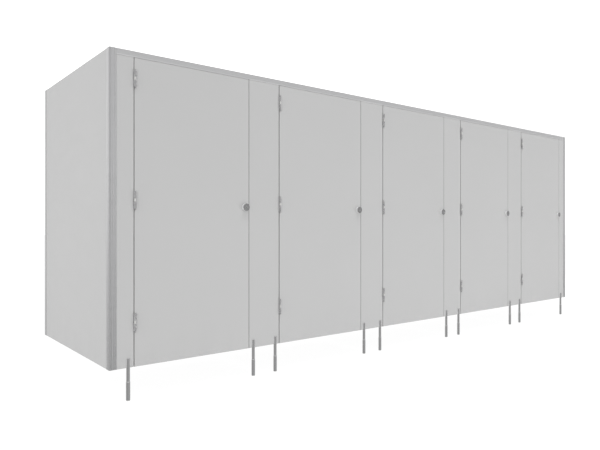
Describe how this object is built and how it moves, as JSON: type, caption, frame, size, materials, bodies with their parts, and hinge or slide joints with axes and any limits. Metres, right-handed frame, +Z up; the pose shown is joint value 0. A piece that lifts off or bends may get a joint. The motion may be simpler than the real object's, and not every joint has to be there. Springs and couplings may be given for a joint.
{
  "type": "toilet cubicle row",
  "caption": "Row of flush-front toilet cubicles in light grey laminate: end panels, partitions, pilasters on slim legs, headrail, outward-swinging doors with quarter-turn latches.",
  "frame": {"origin": "on the floor, at the middle of the row's footprint", "axes": "+X along the row to the right as seen from the front, +Y from the front to the wall, +Z up"},
  "size_m": [5.326, 1.382, 2.04],
  "materials": {
    "side_laminate": "matte",
    "front_laminate": "matte",
    "door_laminate": "matte",
    "anodised_aluminium": "satin",
    "hinge_steel": "satin",
    "pin_steel": "satin",
    "leg_steel": "satin",
    "lock_steel": "satin",
    "screw_steel": "satin",
    "knob_metal": "satin",
    "white_nylon": "satin",
    "stop_strip": "matte",
    "pad_rubber": "matte"
  },
  "bodies": {
    "frame": {"left_end_panel": "side_laminate", "right_end_panel": "side_laminate", "partition_1": "side_laminate", "partition_2": "side_laminate", "partition_3": "side_laminate", "partition_4": "side_laminate", "left_end_pilaster": "front_laminate", "right_end_pilaster": "front_laminate", "pilaster_1": "front_laminate", "pilaster_2": "front_laminate", "pilaster_3": "front_laminate", "pilaster_4": "front_laminate", "headrail": "anodised_aluminium", "corner_caps": "anodised_aluminium", "left_corner_profile": "anodised_aluminium", "right_corner_profile": "anodised_aluminium", "wall_channels": "anodised_aluminium", "pilaster_channels": "anodised_aluminium", "door_stop_strips": "stop_strip", "lock_keeps": "lock_steel", "leg_bars": "leg_steel", "leg_sleeves": "leg_steel", "leg_feet": "leg_steel", "leg_pads": "pad_rubber", "hinge_frame_leaves": "hinge_steel", "hinge_pins": "pin_steel", "hinge_bushes": "white_nylon", "panel_screws": "screw_steel", "leg_screws": "screw_steel", "hinge_frame_screws": "screw_steel"},
    "door_1": {"door_1": "door_laminate", "hinge_leaves_1": "hinge_steel", "door_screws_1": "screw_steel", "knob_1": "knob_metal"},
    "lock_1": {"thumbturn_1": "lock_steel", "latch_1": "lock_steel"},
    "door_2": {"door_2": "door_laminate", "hinge_leaves_2": "hinge_steel", "door_screws_2": "screw_steel", "knob_2": "knob_metal"},
    "lock_2": {"thumbturn_2": "lock_steel", "latch_2": "lock_steel"},
    "door_3": {"door_3": "door_laminate", "hinge_leaves_3": "hinge_steel", "door_screws_3": "screw_steel", "knob_3": "knob_metal"},
    "lock_3": {"thumbturn_3": "lock_steel", "latch_3": "lock_steel"},
    "door_4": {"door_4": "door_laminate", "hinge_leaves_4": "hinge_steel", "door_screws_4": "screw_steel", "knob_4": "knob_metal"},
    "lock_4": {"thumbturn_4": "lock_steel", "latch_4": "lock_steel"},
    "door_5": {"door_5": "door_laminate", "hinge_leaves_5": "hinge_steel", "door_screws_5": "screw_steel", "knob_5": "knob_metal"},
    "lock_5": {"thumbturn_5": "lock_steel", "latch_5": "lock_steel"}
  },
  "joints": [
    {"name": "door_1_swing", "type": "hinge", "parent": "frame", "child": "door_1", "pos_m": [-2.513, -0.679, 1.168], "axis": [0, 0, -1], "range_deg": [0, 105]},
    {"name": "lock_1_turn", "type": "hinge", "parent": "door_1", "child": "lock_1", "pos_m": [-1.745, -0.6625, 1.141], "axis": [0, 1, 0], "range_deg": [0, 90]},
    {"name": "door_2_swing", "type": "hinge", "parent": "frame", "child": "door_2", "pos_m": [-1.456, -0.679, 1.168], "axis": [0, 0, -1], "range_deg": [0, 105]},
    {"name": "lock_2_turn", "type": "hinge", "parent": "door_2", "child": "lock_2", "pos_m": [-0.688, -0.6625, 1.141], "axis": [0, 1, 0], "range_deg": [0, 90]},
    {"name": "door_3_swing", "type": "hinge", "parent": "frame", "child": "door_3", "pos_m": [-0.399, -0.679, 1.168], "axis": [0, 0, -1], "range_deg": [0, 105]},
    {"name": "lock_3_turn", "type": "hinge", "parent": "door_3", "child": "lock_3", "pos_m": [0.369, -0.6625, 1.141], "axis": [0, 1, 0], "range_deg": [0, 90]},
    {"name": "door_4_swing", "type": "hinge", "parent": "frame", "child": "door_4", "pos_m": [0.658, -0.679, 1.168], "axis": [0, 0, -1], "range_deg": [0, 105]},
    {"name": "lock_4_turn", "type": "hinge", "parent": "door_4", "child": "lock_4", "pos_m": [1.426, -0.6625, 1.141], "axis": [0, 1, 0], "range_deg": [0, 90]},
    {"name": "door_5_swing", "type": "hinge", "parent": "frame", "child": "door_5", "pos_m": [1.715, -0.679, 1.168], "axis": [0, 0, -1], "range_deg": [0, 105]},
    {"name": "lock_5_turn", "type": "hinge", "parent": "door_5", "child": "lock_5", "pos_m": [2.483, -0.6625, 1.141], "axis": [0, 1, 0], "range_deg": [0, 90]}
  ]
}
